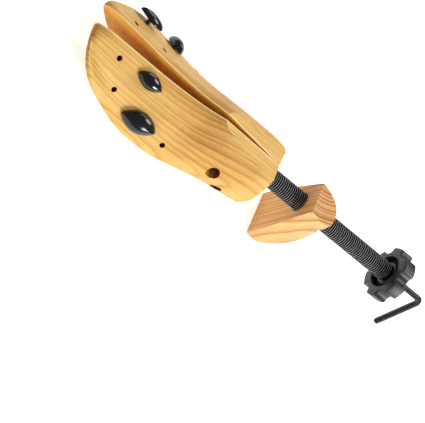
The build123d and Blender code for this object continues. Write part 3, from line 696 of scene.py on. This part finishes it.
def make_plug(node, material):
    """A pointed dome on a ribbed stem, fitted to the CAD plug's place, size and turn."""
    out = Vector(joints[node + "_pull"]["axis"]).normalized()
    points = [v.co.copy() for v in nodes[node].data.vertices]
    low = min(p.dot(out) for p in points)
    high = max(p.dot(out) for p in points)
    ends = [p for p in points if p.dot(out) < low + 0.05 * MM]
    foot = sum(ends, Vector()) / len(ends) + out * STEM_LENGTH
    tip = max(points, key=lambda p: (p - foot - out * (p - foot).dot(out)).length)
    along = (tip - foot - out * (tip - foot).dot(out)).normalized()
    across = out.cross(along)
    half_length = max(abs((p - foot).dot(along)) for p in points)
    half_width = max(abs((p - foot).dot(across)) for p in points)
    height = high - low - STEM_LENGTH
    side_r = (half_length ** 2 + half_width ** 2) / (2 * half_width)
    outline = []
    for step in range(OUTLINE_STEPS):
        turn = 2 * math.pi * step / OUTLINE_STEPS
        x = half_length * math.cos(turn) * (1 - POINT_EASE * math.cos(turn) ** 8)
        y = math.sqrt(side_r ** 2 - x ** 2) - (side_r - half_width)
        outline.append((x, math.copysign(y, math.sin(turn))))
    # share of the outline and rise above the foot, from the flat underside over the dome
    levels = [(0.05, 0.0), (0.5, 0.0), (0.93, 0.0), (0.985, 0.25 * LIP), (1.0, LIP)]
    for step in range(1, DOME_STEPS + 1):
        angle = math.pi / 2 * step / DOME_STEPS
        share = max(TOP_SHARE, math.cos(angle) ** 1.02)
        levels.append((share, LIP + (height - LIP) * math.sin(angle) ** 0.95))
    rings = [[foot + along * x * share + across * y * share + out * rise for x, y in outline]
             for share, rise in levels]
    turns = [2 * math.pi * step / STEM_STEPS for step in range(STEM_STEPS)]
    stem_rings = []
    for place, share in reversed(STEM_RIBS):
        base = foot + out * STEM_LENGTH * place
        stem_rings.append([base + (along * math.cos(t) + across * math.sin(t)) * STEM_R * share
                           for t in turns])
    shells = joined(skin(rings, True, True), skin(stem_rings, True, True))
    made = piece(node + "_dome", *shells, material, node, "plug_plastic", node)
    return crisp(made, 55)


# ---- Everything --------------------------------------------------------------------------------

make_camera()
make_light()

FOREPART_GRAIN = Vector((1, 0.03, -0.06))
FOREPART_PITH = Vector((0.10, -0.16, 0.02))
FOREPART_RING = 2.7 * MM
PINE = (0.90, 0.565, 0.165)
PINE_LATE = (0.56, 0.245, 0.035)
# painted shade and warm painted bounce light on the sawn split faces
shaded_sawn_wood = wood("pine_sawn_painted_shade", FOREPART_GRAIN, FOREPART_PITH, FOREPART_RING, PINE, PINE_LATE, 0.35,
                 shade=(1.0, 0.84, 0.56))
# painted shade on the drilled walls, with some drilling burn
drilled_wood_burn_and_shade = wood("pine_drilled_burn_and_shade", FOREPART_GRAIN, FOREPART_PITH, FOREPART_RING, PINE, PINE_LATE,
                    shade=(0.34, 0.22, 0.13))
HEEL_GRAIN = Vector((0.262, 0, 0.965))
HEEL_PITH = Vector((0.025, -0.045, 0.03))
HEEL_RING = 3.6 * MM
HEEL_PINE = (0.86, 0.49, 0.175)
HEEL_LATE = (0.42, 0.165, 0.04)
HEEL_END = (0.90, 0.92, 1.12)
heel_wood = wood("pine_heel", HEEL_GRAIN, HEEL_PITH, HEEL_RING, HEEL_PINE, HEEL_LATE, 0.85, HEEL_END)
# painted shade on the heel's drilled walls, with some drilling burn
heel_drilled_burn_and_shade = wood("pine_heel_drilled_burn_and_shade", HEEL_GRAIN, HEEL_PITH, HEEL_RING, HEEL_PINE, HEEL_LATE, 0.75,
                    shade=(0.40, 0.27, 0.16))
# the thread's light crests are a painted highlight
black_screw = moulded("black_screw", (0.001, 0.001, 0.001), 0.34, crest_highlight=(0.34, 0.34, 0.34),
                      specular=0.03)
dark_knob = moulded("dark_knob", (0.009, 0.009, 0.009), 0.44, relief=0.02 * MM, specular=0.35)
glossy_plug = moulded("glossy_plug", (0.003, 0.003, 0.003), 0.12, relief=0.003 * MM)
nut_plastic = moulded("nut_plastic", (0.018, 0.018, 0.018), 0.45)
wedge_plastic = moulded("wedge_plastic", (0.40, 0.38, 0.32), 0.35)
rod_steel = metal("blackened_rod", (0.020, 0.020, 0.021), 0.30)
plated_steel = metal("plated_steel", (0.62, 0.61, 0.58), 0.30)
block_metal = metal("cast_block", (0.55, 0.55, 0.56), 0.42)
turned_brass = metal("turned_brass", (0.72, 0.52, 0.22), 0.28)

# the halves as stored stand open by the swing from closed, so their sawn faces look that way
REST_SWING = math.radians(-joints["left_swing"]["range_deg"][0])
for side, way in (("left", LEFT), ("right", -LEFT)):
    outward = Matrix.Rotation(REST_SWING if side == "left" else -REST_SWING, 3, UP) @ way
    split = span(side + "_last_half", outward, Vector())[0]
    # the outer wood paints a highlight along the split edge
    outer_wood = wood("pine_" + side, FOREPART_GRAIN, FOREPART_PITH, FOREPART_RING, PINE, PINE_LATE,
                      edge_highlight=(outward, split))
    refined(side + "_last_half", side + "_half", "forepart_wood", (outer_wood, drilled_wood_burn_and_shade, shaded_sawn_wood),
            -outward)
refined("heel_block", "heel", "heel_wood", (heel_wood, heel_drilled_burn_and_shade))
make_screw(black_screw)
make_knob(dark_knob)
make_crank(rod_steel)
for node in ("left_small_plug", "left_large_plug", "right_toe_plug", "right_ball_plug"):
    make_plug(node, glossy_plug)

by_slot = {"plated_steel": plated_steel, "block_metal": block_metal, "brass": turned_brass,
           "nut_plastic": nut_plastic, "wedge_plastic": wedge_plastic}
for subpart in frame["record"]["subparts"]:
    if subpart["material_slot"] in by_slot:
        data = nodes[subpart["node"]].data
        data.materials.clear()
        data.materials.append(by_slot[subpart["material_slot"]])

floor_data = bpy.data.meshes.new("floor")
floor_corners = [(x * FLOOR_REACH, y * FLOOR_REACH, 0) for x, y in ((-1, -1), (1, -1), (1, 1), (-1, 1))]
floor_data.from_pydata(floor_corners, [], [(0, 1, 2, 3)])
floor_data.materials.append(paper_floor())
floor = bpy.data.objects.new("floor", floor_data)
bpy.context.scene.collection.objects.link(floor)

bpy.context.view_layer.update()
